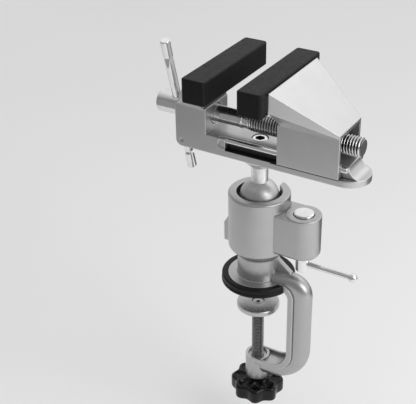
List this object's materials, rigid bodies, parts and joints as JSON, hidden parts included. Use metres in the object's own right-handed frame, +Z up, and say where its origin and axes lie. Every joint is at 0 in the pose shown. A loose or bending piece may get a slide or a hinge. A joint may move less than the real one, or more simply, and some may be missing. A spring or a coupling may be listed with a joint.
{
  "type": "tilting bench vise",
  "caption": "Small bench vise with soft jaws on a ball joint over a table clamp: the head turns, tilts and lies flat, a lever locks it, and screws close jaws and clamp.",
  "frame": {"origin": "centre of the rubber foot pad's underside, where it stands on the table top", "axes": "+X along the lead screw towards the moving jaw, +Y across the jaws towards the side where the neck slot opens, +Z up"},
  "size_m": [0.1425, 0.075, 0.252],
  "materials": {
    "base_casting": "silver lacquer over die casting",
    "head_casting": "satin, lightly brushed",
    "jaw_casting": "satin, lightly brushed",
    "foot_rubber": "matt",
    "jaw_rubber": "matt, fine moulded grain",
    "collar_nylon": "matt",
    "knob_plastic": "glossy",
    "ball_steel": "satin plated",
    "bright_steel": "bright plated",
    "screw_steel": "bright zinc plated",
    "plain_steel": "plain",
    "dark_steel": "dark, oiled"
  },
  "bodies": {
    "base": {"clamp_frame": "base_casting", "foot_pad": "foot_rubber", "lock_bolt": "bright_steel"},
    "collar": {"ball_collar": "collar_nylon"},
    "stud": {"ball_stud": "ball_steel"},
    "head": {"vise_body": "head_casting", "guide_rods": "bright_steel", "fixed_jaw_pad": "jaw_rubber", "stud_screw": "bright_steel"},
    "slide": {"moving_jaw": "jaw_casting", "moving_jaw_pad": "jaw_rubber", "jaw_nut": "plain_steel"},
    "screw": {"lead_screw": "screw_steel", "thrust_washer": "plain_steel", "retaining_ring": "plain_steel"},
    "bar": {"tee_bar": "bright_steel", "tee_bar_caps": "bright_steel"},
    "wedge": {"lock_wedge": "plain_steel"},
    "brake": {"brake_pin": "plain_steel"},
    "lever": {"lock_nut": "bright_steel", "lock_lever": "bright_steel", "lever_ball": "bright_steel"},
    "press": {"pressure_pad": "plain_steel"},
    "spindle": {"clamp_screw": "dark_steel", "pad_screw": "plain_steel", "clamp_knob": "knob_plastic"}
  },
  "joints": [
    {"name": "ball_roll", "type": "hinge", "parent": "base", "child": "collar", "pos_m": [0, 0, 0.062], "axis": [0, 1, 0], "range_deg": [-35, 35]},
    {"name": "ball_tilt", "type": "hinge", "parent": "collar", "child": "stud", "pos_m": [0, 0, 0.062], "axis": [-1, 0, 0], "range_deg": [-40, 90]},
    {"name": "head_turn", "type": "hinge", "parent": "stud", "child": "head", "pos_m": [0, 0, 0.062], "axis": [0, 0, 1], "continuous": true},
    {"name": "screw_turn", "type": "hinge", "parent": "head", "child": "screw", "pos_m": [-0.05, 0, 0.112], "axis": [1, 0, 0], "range_deg": [-6120, 4115]},
    {"name": "jaw_slide", "type": "slide", "parent": "head", "child": "slide", "axis": [1, 0, 0], "range_m": [-0.02, 0.02975]},
    {"name": "bar_slide", "type": "slide", "parent": "screw", "child": "bar", "axis": [0, 0.2639, -0.9646], "range_m": [-0.032, 0.028]},
    {"name": "lever_turn", "type": "hinge", "parent": "wedge", "child": "lever", "pos_m": [0.031, 0, 0.0224], "axis": [0, 0, 1], "range_deg": [-120, 0]},
    {"name": "wedge_slide", "type": "slide", "parent": "base", "child": "wedge", "axis": [0, 0, 1], "range_m": [-0.00033333, 0]},
    {"name": "brake_slide", "type": "slide", "parent": "base", "child": "brake", "axis": [1, 0, 0], "range_m": [0, 0.00034]},
    {"name": "spindle_turn", "type": "hinge", "parent": "press", "child": "spindle", "pos_m": [0, 0, -0.08], "axis": [0, 0, 1], "range_deg": [-9720, 580]},
    {"name": "press_slide", "type": "slide", "parent": "base", "child": "press", "axis": [0, 0, 1], "range_m": [-0.03375, 0.002]}
  ],
  "couplings": [
    {"joint": "screw_turn", "follows": "jaw_slide", "rad_per_m": -3590.4},
    {"joint": "lever_turn", "follows": "wedge_slide", "rad_per_m": 6283.2},
    {"joint": "brake_slide", "follows": "wedge_slide", "ratio": -1},
    {"joint": "spindle_turn", "follows": "press_slide", "rad_per_m": 5026.5}
  ]
}
